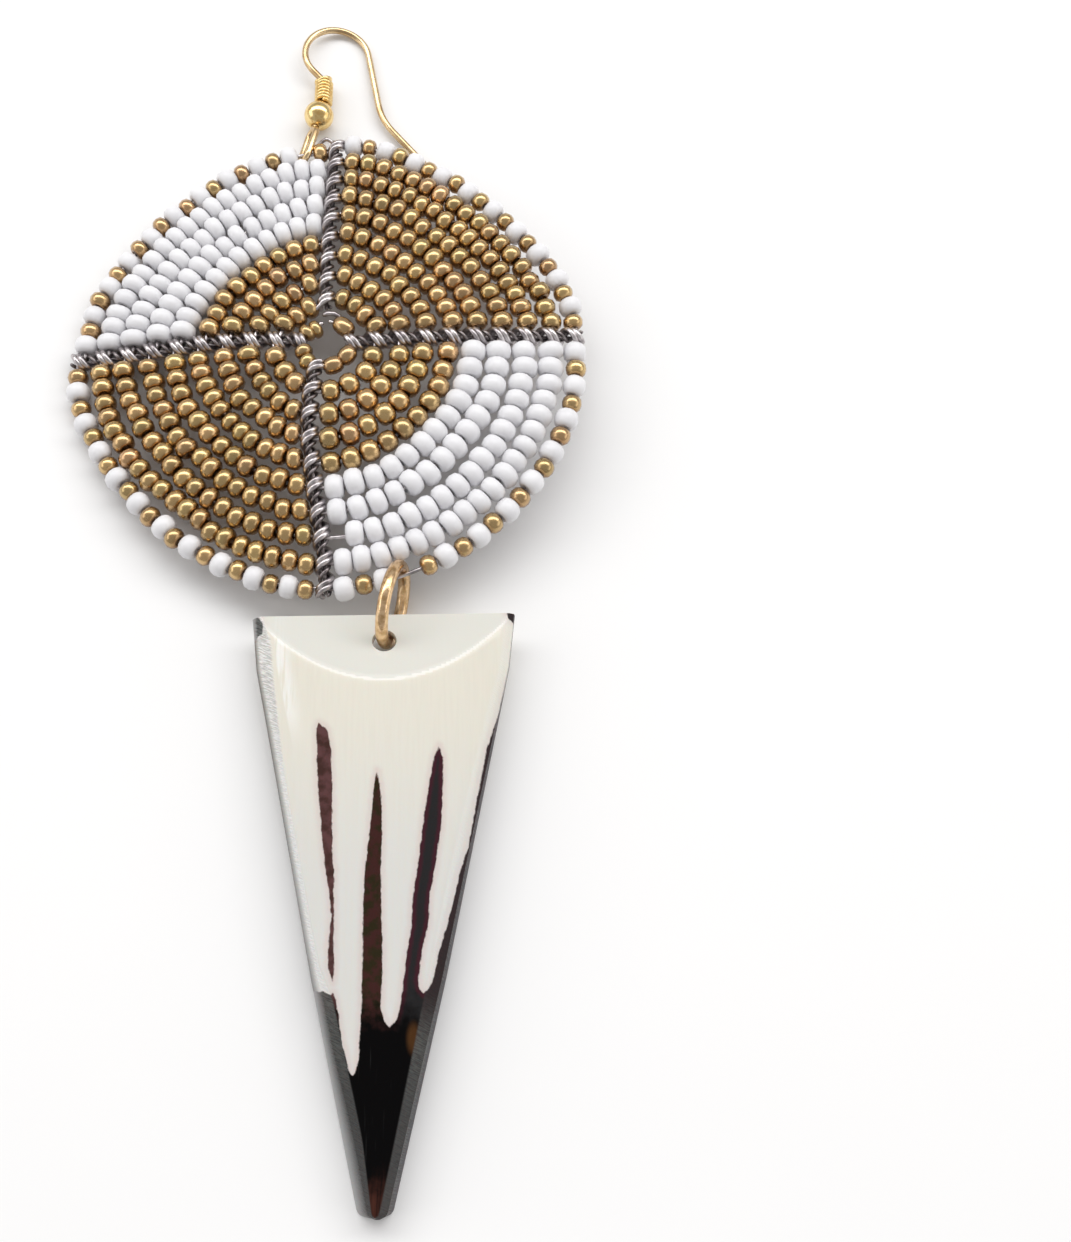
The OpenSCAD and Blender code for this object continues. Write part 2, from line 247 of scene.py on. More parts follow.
# Plated wire: a metal with a mottle of a darker colour and fine drawing marks. A noise on the
# object's place has its scale in cells to the metre, so 1800 is a mottle of half a millimetre.
def wireMaterial(name, color, dark, roughness, mottle=1800.0):
    wire = Shader(name, metallic=1.0)
    spots = wire.noise(wire.place(), mottle, 3.0)
    marks = wire.noise(wire.place(), 9000.0, 2.0)
    wire.feed(baseColor=wire.mix(wire.step(spots, 0.35, 0.7), color, dark),
              roughness=roughness + 0.12 * spots, normal=wire.bump(marks, 0.01 * mm, 0.5))
    return wire.material


goldWire = wireMaterial("goldWire", (0.93, 0.72, 0.35, 1), (0.76, 0.50, 0.18, 1), 0.16)
hookGold = wireMaterial("hookGold", (0.77, 0.58, 0.34, 1), (0.48, 0.32, 0.16, 1), 0.22, 500.0)
paleGold = wireMaterial("paleGold", (0.90, 0.64, 0.38, 1), (0.60, 0.38, 0.18, 1), 0.17)
silverWire = wireMaterial("silverWire", (0.70, 0.66, 0.66, 1), (0.30, 0.27, 0.28, 1), 0.24, 900.0)
# A darkened copy of the silver wire: painted shade for the spokes' core and inner strand, deep between
# the bright strands.
shadedWire = wireMaterial("shadedWire", (0.30, 0.27, 0.27, 1), (0.14, 0.12, 0.12, 1), 0.3)

# The brown and its share here paint shade toward each bronze bead's ends and underside.
bronzeLook = {"olive": (0.56, 0.41, 0.165, 1), "gold": (0.61, 0.41, 0.18, 1),
              "copper": (0.63, 0.375, 0.19, 1), "wornBrown": (0.29, 0.13, 0.03, 1),
              "wornShare": 0.8, "darkest": 0.74, "toneRange": 0.34, "wornCells": 1500.0}
# The end grey and its share paint shade toward each white bead's ends and underside.
whiteLook = {"dim": (0.76, 0.755, 0.775, 1), "bright": (0.83, 0.825, 0.845, 1),
             "end": (0.62, 0.61, 0.65, 1), "endShare": 0.15, "cloudCells": 700.0}


# Glass with a bronze lustre. The hue attribute runs from olive gold to copper from bead to
# bead, tone makes a bead lighter or darker, and edge is where painted shade darkens a bead to
# brown toward its ends and underside.
def bronzeMaterial():
    look = bronzeLook
    bronze = Shader("bronzeLustre", metallic=0.92, coatWeight=0.8, coatRoughness=0.18)
    worn = bronze.noise(bronze.place(), look["wornCells"], 3.0)
    hue = bronze.ramp(bronze.attribute("hue") + 0.25 * (worn - 0.5),
                      (0.0, look["olive"]), (0.5, look["gold"]), (1.0, look["copper"]))
    beadTone = look["darkest"] + look["toneRange"] * bronze.attribute("tone")
    lustre = bronze.mix(1.0, hue, bronze.vector(beadTone, beadTone, beadTone), "MULTIPLY")
    # Painted shade: brown toward each bead's ends and underside, where the edge attribute grows.
    paintedEdgeShade = bronze.attribute("edge") * look["wornShare"]
    pits = bronze.noise(bronze.place(), 1200.0, 2.0)
    bronze.feed(baseColor=bronze.mix(paintedEdgeShade, lustre, look["wornBrown"]),
                roughness=0.2 + 0.14 * worn, normal=bronze.bump(pits, 0.04 * mm, 0.35))
    return bronze.material


# Opaque white glass, a little lavender, with a soft gloss, and painted shade that greys the beads' ends
# and undersides.
def whiteMaterial():
    look = whiteLook
    white = Shader("whiteGlass", subsurfaceWeight=0.75, subsurfaceScale=1.2 * mm,
                   subsurfaceRadius=(1.0, 1.0, 1.0), specularIORLevel=0.4)
    cloud = white.noise(white.place(), look["cloudCells"], 2.0)
    beadTone = white.attribute("tone") * 0.7 + cloud * 0.3
    glass = white.mix(beadTone, look["dim"], look["bright"])
    waves = white.noise(white.place(), 1600.0, 2.0)
    # Painted shade: grey toward each bead's ends and underside, where the edge attribute grows.
    white.feed(baseColor=white.mix(white.attribute("edge") * look["endShare"], glass, look["end"]),
               roughness=0.3 + 0.15 * cloud, normal=white.bump(waves, 0.03 * mm, 0.4))
    return white.material


bronzeBeads = bronzeMaterial()
whiteBeads = whiteMaterial()
print("materials of wire and beads made")

# The disc of beads. Its own frame has the dome's axis as Z.
disc = {"firstRowR": 2.7, "rowPitch": 2.62, "domeH": 2.6, "roll": 4.5, "pitch": 1.9,
        "rowCount": 10, "firstOuterRow": 8, "spokeSide": 0.95, "firstSide": 0.75,
        "restD": 2.45, "restGap": 0.02}
rimR = disc["firstRowR"] + (disc["rowCount"] - 1) * disc["rowPitch"]
spokes = [(6.0, 3), (90.5, 3), (181.8, -13), (271.8, -24)]    # angle at the rim, bow inward
spokeNames = ["right", "top", "left", "bottom"]
upperLeft, lowerRight = 1, 3                                  # quarters by their number
# Each quarter from its spoke to the next: how far its rows lie out at both ends, how much
# more the middle rows do, sag of inner and outer rows, first white row, beads in each row.
quarters = [
    {"name": "upper_right", "out": (0.45, 0.55), "more": (0, 0.7), "sag": (0.06, 0.065),
     "whiteFrom": 11, "counts": [1, 4, 6, 8, 10, 12, 14, 17, 18, 20]},
    {"name": "upper_left", "out": (-0.55, -0.45), "more": (0, 0), "sag": (0.05, 0.05),
     "whiteFrom": 6, "counts": [2, 3, 5, 7, 9, 12, 14, 17, 19, 20]},
    {"name": "lower_left", "out": (0.4, 0.1), "more": (0, 0), "sag": (0.04, 0.042),
     "whiteFrom": 11, "counts": [2, 3, 6, 8, 11, 12, 15, 17, 20, 21]},
    {"name": "lower_right", "out": (0.25, 0.2), "more": (0, -0.5), "sag": (0.04, 0.015),
     "whiteFrom": 6, "counts": [2, 4, 6, 8, 10, 12, 14, 16, 19, 19]}]
# Bare stretches of wire, by quarter and row: beads before the stretch, and its length
bareWire = {(upperLeft, 10): (1, 1.7), (lowerRight, 10): (3, 2.8), (lowerRight, 8): (0, 1.5)}


# Rows are a pitch apart, and sag between spokes by a share of their radius.
def rowR(k):
    return disc["firstRowR"] + (k - 1) * disc["rowPitch"]


# Angle of spoke n at radius r: it bends round from its angle at the rim by the square of the
# distance in from there.
def spokeAngle(n, r):
    return spokes[n % 4][0] + 360 * (n // 4) + spokes[n % 4][1] * (1 - r / rimR) ** 2


def rowSag(q, k):
    return quarters[q]["sag"][k >= disc["firstOuterRow"]]


# How far row k lies out at share t of its way, blended between the quarter's two ends.
def rowOut(q, k, t):
    out, more = quarters[q]["out"], quarters[q]["more"]
    return ((1 - 1 / k) * ((1 - t) * out[0] + t * out[1])
            + sin(pi * k / disc["rowCount"]) * ((1 - t) * more[0] + t * more[1]))


# Radius of row k there: out by rowOut, and in by its sag times a squared sine.
def rowAt(q, k, t):
    return rowOut(q, k, t) + rowR(k) * (1 - rowSag(q, k) * np.sin(pi * t) ** 2)


# Points on the dome, a paraboloid, at radius r and angle a in degrees.
def onDome(r, a):
    a = np.radians(a)
    return np.stack([r * np.cos(a), r * np.sin(a), disc["domeH"] * (1 - (r / rimR) ** 2)], -1)


# Row k in the disc's own frame: its angle runs evenly from one spoke to the next.
def rowCurve(q, k, t):
    first, last = spokeAngle(q, rowAt(q, k, 0.0)), spokeAngle(q + 1, rowAt(q, k, 1.0))
    return onDome(rowAt(q, k, t), first + t * (last - first))


# Shares of the way at which row k has its beads, the length of wire for each, and the row's.
def rowBeads(q, k):
    first, last = spokeAngle(q, rowAt(q, k, 0.0)), spokeAngle(q + 1, rowAt(q, k, 1.0))
    length = radians(last - first) * (rowR(k) * (1 - rowSag(q, k) / 2) + rowOut(q, k, 0.5))
    count = quarters[q]["counts"][k - 1]
    side = (disc["firstSide"] if k == 1 else 1) * disc["spokeSide"]
    after, bare = bareWire.get((q, k), (0, 0.0))
    pitch = (length - 2 * side - bare) / count
    i = np.arange(count)
    share = (side + (i + 0.5) * pitch + bare * (i >= after)) / length
    return share - rowSag(q, k) / (4 * pi) * np.sin(2 * pi * share), pitch, length


# Middles of the rim row's beads in a quarter, in the disc's own frame.
def rimMiddles(q):
    return rowCurve(q, disc["rowCount"], rowBeads(q, disc["rowCount"])[0])


# The dome's normal: across and along it is the paraboloid's slope, and up it is one.
def domeNormal(p):
    slope = 2 * disc["domeH"] / rimR ** 2
    return unit(np.stack([slope * p[..., 0], slope * p[..., 1], np.ones(p.shape[:-1])], -1))


discRoll, discPitch = radians(disc["roll"]), radians(disc["pitch"])
rolled = np.array([[cos(discRoll), 0, -sin(discRoll)], [0, 1, 0], [sin(discRoll), 0, cos(discRoll)]])
pitched = np.array([[1, 0, 0], [0, cos(discPitch), sin(discPitch)], [0, -sin(discPitch), cos(discPitch)]])
fallen = rolled @ pitched
lowestBead = (rimMiddles(upperLeft) @ fallen.T)[:, 2].min()
discUp = np.array([0, 0, disc["restD"] / 2 + disc["restGap"] - lowestBead])


# From the disc's own frame to the part's frame.
def placed(p):
    return p @ fallen.T + discUp - outlineMid


# Beads. Jitter is the spread of their shifts, times a share along the wire, sideways and up.
# For the rim and the first row a pair is shares of the usual length and diameter.
beadLook = {"whiteD": 2.88, "bronzeD": 2.46, "hole": 0.24, "around": 12, "whiteSquare": 0.82,
            "bronzeSquare": 0.88, "section": [3, 28, 58, 90, 122, 152, 177], "longest": 2.1,
            "packed": 1.01, "whiteJitter": 0.08, "bronzeJitter": 0.11, "shift": [0.35, 1.0, 0.9],
            "tilt": 4.5, "sizeSpread": 0.03, "sizeLimits": (0.93, 1.06), "hueMiddle": 0.5,
            "hueSpread": 0.17, "hueLimits": (0.1, 0.9), "rimWhite": (1.08, 0.9),
            "rimBronze": (0.88, 0.89), "firstRow": (1.15, 0.82), "lowEdge": 0.45, "endEdge": 0.6}
sectionTurn = np.radians(beadLook["section"])


# Section of a bead: half a superellipse from hole to hole, which its power makes barrel-like
# below 1, and the hole's wall. Its length runs from -1 to 1, its radius from hole to 1.
def beadSection(square):
    x, r = np.cos(sectionTurn), np.sin(sectionTurn)
    return np.sign(x) * abs(x) ** square, beadLook["hole"] + (1 - beadLook["hole"]) * r ** square


chance = np.random.default_rng(11)


# Beads as rings of the section round each bead's wire. Middles, directions along the wire,
# and lift are arrays of vectors; lengths and diameters are arrays of numbers. The edge value
# grows from 0 to 1 towards a bead's ends and its underside, where the materials paint shade.
def beadMesh(middles, ways, lifts, lengths, diameters, square):
    sectionX, sectionR = beadSection(square)
    side = unit(np.cross(lifts, ways))
    lifts = np.cross(ways, side)
    turn = fullTurn(beadLook["around"])
    ring = swung(lifts[:, None], side[:, None], turn)
    points = (middles[:, None, None]
              + ways[:, None, None] * (sectionX * lengths[:, None] / 2)[..., None, None]
              + ring[:, None] * (sectionR * diameters[:, None] / 2)[..., None, None])
    count = len(sectionX) * beadLook["around"]
    low = ((beadLook["lowEdge"] - np.cos(turn[:, 0])) / beadLook["lowEdge"]).clip(0, 1)
    end = ((abs(sectionX) - beadLook["endEdge"]) / (1 - beadLook["endEdge"])).clip(0, 1)
    edge = np.tile(np.maximum(low, end[:, None]).ravel(), len(middles))
    faces = repeated(gridFaces(len(sectionX), beadLook["around"], True, True), len(middles), count)
    return points, faces, edge


# All beads of some rows, with chance shifts, tilts and sizes, split by the bead's colour.
def gather(q, rows):
    found = {True: [], False: []}
    for k in rows:
        t, pitchLength = rowBeads(q, k)[:2]
        i = np.arange(len(t))
        if k == disc["rowCount"]:               # only the lower right starts with a white bead
            isWhite = (i % 2 == 0) == (q == lowerRight)
            stretch, thick = np.where(isWhite[:, None], beadLook["rimWhite"], beadLook["rimBronze"]).T
        else:
            stretch, thick = beadLook["firstRow"] if k == 1 else (1.0, 1.0)
            isWhite = np.full(len(t), k >= quarters[q]["whiteFrom"])
        middle = rowCurve(q, k, t)
        ahead = unit(rowCurve(q, k, t + nudge) - rowCurve(q, k, t - nudge))
        lift = domeNormal(middle)
        out = np.cross(ahead, lift)
        jitter = np.where(isWhite, beadLook["whiteJitter"], beadLook["bronzeJitter"])[:, None]
        shift = chance.normal(0, 1, (len(t), 3)) * jitter * beadLook["shift"]
        lean = np.radians(chance.normal(0, beadLook["tilt"], (len(t), 2)))
        middle = middle + ahead * shift[:, :1] + out * shift[:, 1:2] + lift * shift[:, 2:]
        ahead = unit(ahead + out * lean[:, :1] + lift * lean[:, 1:])
        size = chance.normal(1, beadLook["sizeSpread"], len(t)).clip(*beadLook["sizeLimits"])
        width = np.where(isWhite, beadLook["whiteD"], beadLook["bronzeD"]) * size * thick
        long = min(pitchLength, beadLook["longest"]) * chance.normal(1, beadLook["sizeSpread"], len(t))
        long = np.minimum(long, pitchLength * beadLook["packed"]) * stretch
        tone = chance.random(len(t))
        hue = chance.normal(beadLook["hueMiddle"], beadLook["hueSpread"], len(t))
        hue = hue.clip(*beadLook["hueLimits"])
        for kind in (True, False):
            found[kind].append([column[isWhite == kind]
                                for column in (middle, ahead, lift, long, width, tone, hue)])
    return {kind: [np.concatenate(column) for column in zip(*parts)]
            for kind, parts in found.items()}


# One piece of all the beads that gather found of one colour.
def beadPiece(name, columns, white, replaced):
    *shapes, tone, hue = columns
    points, faces, edge = beadMesh(*shapes, beadLook["whiteSquare" if white else "bronzeSquare"])
    each = points[0].size // 3
    makePiece(name, [(placed(points), faces)], whiteBeads if white else bronzeBeads,
              replaced,
              {"tone": tone.repeat(each), "hue": hue.repeat(each), "edge": edge})


for q, quarter in enumerate(quarters):
    name = quarter["name"]
    inner = gather(q, range(1, disc["rowCount"]))
    beadPiece("bronze_beads_" + name, inner[False], False, ["bronze_rows_" + name])
    if quarter["whiteFrom"] < disc["rowCount"]:
        beadPiece("white_beads_" + name, inner[True], True, ["white_rows_" + name])
    rim = gather(q, [disc["rowCount"]])
    beadPiece("rim_white_" + name, rim[True], True, ["rim_row_" + name])
    beadPiece("rim_bronze_" + name, rim[False], False, [])
print("beads made")

# The rows' wire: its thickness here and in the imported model, and how far it starts from a spoke
rowWire = {"wireD": 0.45, "cadWireD": 0.5, "margin": 0.4, "points": 60, "sides": 6}


# A row's wire follows the row's curve from one spoke to the next.
def rowWirePath(q, k):
    length = rowBeads(q, k)[2]
    along = np.linspace(rowWire["margin"], length - rowWire["margin"], rowWire["points"])
    return rowCurve(q, k, along / length)


for q, quarter in enumerate(quarters):
    paths = np.stack([rowWirePath(q, k) for k in range(1, disc["rowCount"] + 1)])
    points, faces = tube(paths, rowWire["wireD"] / 2, rowWire["sides"], domeNormal(paths))
    makePiece("row_wire_" + quarter["name"], [(placed(points), faces)], silverWire)
print("wire of the rows made")

# Spokes: a core and an inner strand of the same silver wire, darkened as painted shade, with two
# bright strands wound round them. Each strand goes round once for each row; apart is half
# the step between the bright ones.
rope = {"coreD": 0.4, "coreDrop": 0.3, "strandD": 0.6, "strandR": 0.73, "apart": 0.29, "from": 2.2,
        "topFrom": 4.7, "over": 0.85, "sides": 8, "innerD": 0.4, "innerR": 0.5,
        "innerShift": 1.2, "points": 220, "coreEvery": 8}
# The top spoke's wire end is an arc bent over beside it. Loose wires lie by the centre hole:
# the radius and the points of each, in the disc's frame.
topEnd = {"arc": (-30, 210), "points": 24, "across": 1.05, "aside": 1.2, "along": 1.1,
          "high": 0.45, "dip": 0.5, "past": 0.1, "wireR": 0.22,
          "loose": [(0.2, [(-1.16, 4.12, 3.05), (-0.5, 4.95, 3.15), (0.11, 5.66, 3.1), (0.2, 6.4, 2.75)]),
                    (0.27, [(-0.27, 3.48, 2.95), (0.1, 3.55, 3.1), (0.8, 3.5, 3.1), (1.25, 3.31, 2.9)])]}


# Middle of spoke n, with its direction out, the dome's normal and the clockwise side.
def spokeFrame(n, r):
    middle = onDome(r, spokeAngle(n, r))
    way = unit(onDome(r + nudge, spokeAngle(n, r + nudge)) - middle)
    lift = domeNormal(middle)
    return middle, way, lift, np.cross(way, lift)


# A strand's helix round the core. It is on top at each row's radius plus the shift.
def strand(n, r, shift, reach, thickness):
    middle, way, lift, side = spokeFrame(n, r)
    turn = (2 * pi * (r - shift - disc["firstRowR"]) / disc["rowPitch"])[:, None]
    outward = swung(lift, side, turn)
    return tube(middle + reach * outward, thickness / 2, rope["sides"], outward)


# The arc lies beside spoke n on the dome, highest at its outer end and low at its two sides.
def topWires(n):
    a = np.radians(np.linspace(*topEnd["arc"], topEnd["points"]))
    end, way, lift, side = [v[0] for v in spokeFrame(n, np.array([rimR + topEnd["past"]]))]
    arc = (end + np.outer(topEnd["across"] * np.cos(a) - topEnd["aside"], side)
           + np.outer(topEnd["along"] * np.sin(a), way)
           + np.outer(topEnd["high"] - topEnd["dip"] * abs(np.cos(a)), lift))
    found = [tube(arc, topEnd["wireR"], rope["sides"], lift)]
    for wireR, path in topEnd["loose"]:
        found.append(tube(path, wireR, rope["sides"], lift))
    return found


for n, spokeName in enumerate(spokeNames):
    r = np.linspace(rope["topFrom" if spokeName == "top" else "from"], rimR + rope["over"],
                    rope["points"])
    coreAt, coreLift = spokeFrame(n, r[::rope["coreEvery"]])[::2]
    core = tube(coreAt - rope["coreDrop"] * coreLift, rope["coreD"] / 2, rope["sides"], coreLift)
    inner = [core, strand(n, r, rope["innerShift"], rope["innerR"], rope["innerD"])]
    makePiece("spoke_core_" + spokeName, [(placed(p), f) for p, f in inner], shadedWire)
    outer = [strand(n, r, hand * rope["apart"], rope["strandR"], rope["strandD"]) for hand in (-1, 1)]
    if spokeName == "top":
        outer += topWires(n)
    makePiece("wound_spoke_" + spokeName, [(placed(p), f) for p, f in outer], silverWire,
              ["spoke_" + spokeName])
print("spokes made")

# Ear hook. Its own frame has the ball's middle as origin and its wire in the XY plane. Its eye
# holds the rim wire between the first two beads of the upper left, which crosses it askew.
hook = {"wireD": 0.75, "ballD": 3.3, "ballHole": 0.42, "roll": 6.9, "pitch": 3.6, "eyeR": 0.9,
        "eyeTurn": 24.0, "coilFrom": 1.95, "coilBend": 1.0, "coilWire": 0.42, "coilR": 0.83,
        "coilTurns": 7.8, "coilStart": 2.0, "coilSpread": 1.01, "at": (-2.42, 31.06),
        "ballLift": 0.03, "gap": 0.08, "rimSkew": 22, "coilPoints": 60, "coilSmooth": 6,
        "turnPoints": 22, "sides": 14, "eyeSides": 12, "coilSides": 10, "ballAround": 40,
        "ballRows": 26, "holeInset": 0.96, "holeDepth": 0.93}
ballAt = np.array([*hook["at"], hook["ballD"] / 2 + hook["ballLift"]])
hookRoll, hookPitch = radians(hook["roll"]), radians(hook["pitch"])
hookX = np.array([cos(hookRoll), 0, -sin(hookRoll)])
hookY = np.array([-sin(hookPitch) * sin(hookRoll), cos(hookPitch), -sin(hookPitch) * cos(hookRoll)])
hookZ = np.cross(hookX, hookY)
toRim = placed(rimMiddles(upperLeft)[:2].mean(0)) + outlineMid - ballAt
lean = atan(toRim @ hookX / (toRim @ hookY))
eyeFrom = hook["ballD"] / 2 + hook["wireD"] / 2 + hook["gap"]
eyeRoom = ((rowWire["cadWireD"] + hook["wireD"]) / 2 + hook["gap"]) / cos(radians(hook["rimSkew"]))
eyeTo = np.hypot(toRim @ hookX, toRim @ hookY) + eyeRoom
stem = eyeFrom + (hook["coilFrom"] - hook["coilBend"] * sin(lean)) / cos(lean)
# Length of a straight stretch, then the turn after it, to the left, and the turn's radius
hookRoute = [(stem, lean, hook["coilBend"]), (2.6125, radians(44.4), 0.6),
             (1.6, radians(-213.4), 3.67), (7.1, radians(31.8), 6.8), (6.7, 0, 1)]


# From the hook's own frame to the part's, first for places and then for directions.
def onHook(p):
    return ballAt - outlineMid + p @ np.stack([hookX, hookY, hookZ])


def hookWay(v):
    return onHook(v) - onHook(np.zeros(3))


# The route's points: each stretch is a line, and each turn an arc about a point beside it.
def routePoints():
    heading = pi / 2 - lean
    at = -eyeFrom * np.array([cos(heading), sin(heading)])
    pieces = []
    for length, turn, radius in hookRoute:
        way = np.array([cos(heading), sin(heading)])
        line = at + np.linspace(0, length, max(3, int(length / 0.4)))[:, None] * way
        pieces.append(line)
        at = line[-1]
        if turn:
            hand = np.sign(turn)
            centre = at + hand * radius * np.array([-way[1], way[0]])
            swing = heading - hand * pi / 2 + np.linspace(0, turn, max(6, int(abs(turn) * 14)))[1:]
            pieces.append(centre + radius * np.stack([np.cos(swing), np.sin(swing)], -1))
            at, heading = pieces[-1][-1], heading + turn
    flat = np.concatenate(pieces)
    keep = np.r_[True, np.linalg.norm(np.diff(flat, axis=0), axis=1) > 1e-4]
    return np.pad(flat[keep], ((0, 0), (0, 1)))


# Points at even steps along a path.
def evenly(path, count, first=0.0, last=None):
    far = np.r_[0, np.cumsum(np.linalg.norm(np.diff(path, axis=0), axis=1))]
    s = np.linspace(first, far[-1] if last is None else last, count)
    return np.stack([np.interp(s, far, path[:, c]) for c in range(3)], -1)


# The long eye's path: two straight sides with round ends, from the ball to round the rim wire.
def eyePath(toDisc, eyeUp):
    bend = np.radians(np.linspace(-90, 90, 15))
    near, far = eyeFrom + hook["eyeR"], eyeTo - hook["eyeR"]
    reach = np.r_[far + hook["eyeR"] * np.cos(bend), near - hook["eyeR"] * np.cos(bend)]
    rise = np.r_[hook["eyeR"] * np.sin(bend), -hook["eyeR"] * np.sin(bend)]
    return np.outer(reach, toDisc) + np.outer(rise, eyeUp)


# The coil goes round the hook's own route, which a running mean smooths where it bends.
def coilTube():
    start = stem + hook["coilStart"] - hook["coilFrom"]
    length = hook["coilTurns"] * hook["coilWire"] * hook["coilSpread"]
    spine = evenly(route, hook["coilPoints"], start, start + length)
    window = 2 * hook["coilSmooth"] + 1
    padded = np.pad(spine, ((hook["coilSmooth"],) * 2, (0, 0)), "reflect", reflect_type="odd")
    spine = np.stack([np.convolve(column, np.ones(window) / window, "valid") for column in padded.T], -1)
    spine = evenly(spine, int(hook["coilTurns"] * hook["turnPoints"]))
    side = unit(np.cross(unit(np.gradient(spine, axis=0)), up))
    turn = np.linspace(0, hook["coilTurns"] * 2 * pi, len(spine))[:, None]
    outward = swung(up, side, turn)
    return tube(onHook(spine + hook["coilR"] * outward), hook["coilWire"] / 2, hook["coilSides"],
                hookWay(outward))


# The ball is turned about the wire: half a circle from hole to hole, closed by the hole.
def ballGrid():
    ballR, holeR = hook["ballD"] / 2, hook["ballHole"]
    polar = np.linspace(asin(holeR / ballR), pi - asin(holeR / ballR), hook["ballRows"])
    inset, depth = holeR * hook["holeInset"], ballR * hook["holeDepth"]
    profileR = np.r_[ballR * np.sin(polar), inset, inset]
    profileX = np.r_[ballR * np.cos(polar), -depth, depth]
    ring = swung(eyeAcross, up, fullTurn(hook["ballAround"]))
    points = -profileX[:, None, None] * toDisc + profileR[:, None, None] * ring
    return onHook(points), gridFaces(len(profileR), hook["ballAround"], True, True)


route = routePoints()
toDisc = -np.array([sin(lean), cos(lean), 0])
eyeAcross = np.array([cos(lean), -sin(lean), 0])
eyeUp = swung(up, eyeAcross, radians(hook["eyeTurn"]))
hookTube = tube(onHook(route), hook["wireD"] / 2, hook["sides"], hookZ)
eyeTube = tube(onHook(eyePath(toDisc, eyeUp)), hook["wireD"] / 2, hook["eyeSides"],
               hookWay(np.cross(toDisc, eyeUp)), closed=True)
makePiece("hook_wire", [hookTube, eyeTube], hookGold, ["ear_hook"])
makePiece("wound_coil", [coilTube()], goldWire, ["hook_coil"])
makePiece("ball", [ballGrid()], goldWire, ["hook_ball"])
print("ear hook made")

# Jump ring, a bent wire whose two ends nearly meet underneath. It stands on edge and holds
# the rim wire between the third and fourth beads of the lower right.
ring = {"cadR": 4.1, "cadWireD": 1.05, "wireD": 1.3, "r": 3.98, "turn": 12, "lean": 10, "gap": 0.06,
        "share": 0.36, "skew": 32, "slack": 0.02, "holeFall": 8, "slit": 0.7, "points": 120,
        "sides": 16}
ringTurn, ringLean = radians(ring["turn"]), radians(ring["lean"])
ringAlong = np.array([sin(ringTurn), cos(ringTurn), 0])
ringUp = np.array([-sin(ringLean) * cos(ringTurn), sin(ringLean) * sin(ringTurn), cos(ringLean)])
ringZ = ring["cadR"] * cos(ringLean) + ring["cadWireD"] / 2
holdBeads = placed(rimMiddles(lowerRight)[2:4]) + outlineMid
ringHold = (1 - ring["share"]) * holdBeads[0] + ring["share"] * holdBeads[1]
ringRoom = ((ring["cadWireD"] + rowWire["cadWireD"]) / 2 + ring["gap"]) / cos(radians(ring["skew"]))
ringReach = ring["cadR"] - ringRoom
ringRise = asin((ringHold[2] - ringZ) / (ringReach * cos(ringLean)))
ringAt = ringHold - ringReach * swung(ringAlong, ringUp, ringRise)
ringBend = np.radians(np.linspace(-90 + ring["slit"], 270 - ring["slit"], ring["points"]))[:, None]
ringPath = (ringAt - outlineMid - ring["slack"] * ringAlong
            + ring["r"] * swung(ringAlong, ringUp, ringBend))
makePiece("ring_wire", [tube(ringPath, ring["wireD"] / 2, ring["sides"], np.cross(ringAlong, ringUp))],
          paleGold, ["jump_ring"])
print("jump ring made")

# The drop. In its own frame the top edge is at Y 0, the tip at -length and the back at Z 0.
# The last three are tables of distances from the top and the values there: how full the sides
# are, how far in the left wall leans, and how wide the left bevel is.
drop = {"width": 26.6, "length": 57.6, "thick": 4.0, "topThick": 1.2, "holeD": 2.3, "holeIn": 3.0,
        "bevelLen": 6.4, "faceLen": 7.3, "frontR": 32.0, "tipW": 3.2, "tipCut": 0.7,
        "rightLean": 11.0, "sideLean": 50.0, "wallTop": 0.75, "wallTip": 2.95, "turn": 0.9,
        "topSkew": 1.8, "bulge": 0.5, "tipThinner": 0.4, "thinFrom": 28, "thinOver": 29,
        "columns": 120, "rows": 210, "blend": 0.096, "holePlay": 0.07, "squareHalf": 1.9,
        "squareColumns": 9, "leastRise": 0.3, "softEdge": 0.12, "sharpFrom": 30,
        "full": ([0, 5.5, 12, 36, 50, 57.6], [0, 1.05, 1, 1, 0.35, 0]),
        "leftFiled": ([0, 6, 14, 33, 38, 43, 47, 51, 57.6],
                      [0.42, 0.52, 0.62, 0.66, 0.84, 0.84, 1.0, 1.12, 1.0]),
        "leftBevel": ([0, 2.5, 5, 10, 14, 18, 35, 38, 42, 50, 57.6],
                      [0.5, 1.2, 1.2, 0.8, 0.5, 0.35, 0.35, 0.9, 1.0, 0.8, 0.35])}
bevelSlope = atan((drop["thick"] - drop["topThick"]) / drop["bevelLen"])
holeT = drop["topThick"] + drop["holeIn"] * tan(bevelSlope)
holeAt = ringAt - ring["cadR"] * swung(ringAlong, ringUp, radians(ring["holeFall"]))
dropFall = asin((holeAt[2] - holeT / 2) / (drop["length"] - drop["holeIn"]))
dropTurn = radians(drop["turn"])
dropX = np.array([cos(dropTurn), sin(dropTurn), 0])
dropY = np.array([-sin(dropTurn) * cos(dropFall), cos(dropTurn) * cos(dropFall), sin(dropFall)])
dropZ = np.cross(dropX, dropY)


# From the drop's own frame to the part's frame.
def onDrop(p):
    return (holeAt - outlineMid + dropY * drop["holeIn"] - dropZ * holeT / 2
            + p @ np.stack([dropX, dropY, dropZ]))


# Half the drop's width at a distance s from the top: a straight taper with full sides and
# rounded corners at the tip.
def halfWidth(s):
    taper = drop["width"] / 2 + (drop["tipW"] - drop["width"]) / 2 * s / drop["length"]
    full = drop["bulge"] * np.interp(s, *drop["full"])
    cut = np.clip((s - drop["length"] + drop["tipCut"]) / drop["tipCut"], 0, 1)
    return taper + full - drop["tipCut"] * (1 - np.sqrt(1 - 0.98 * cut ** 2))


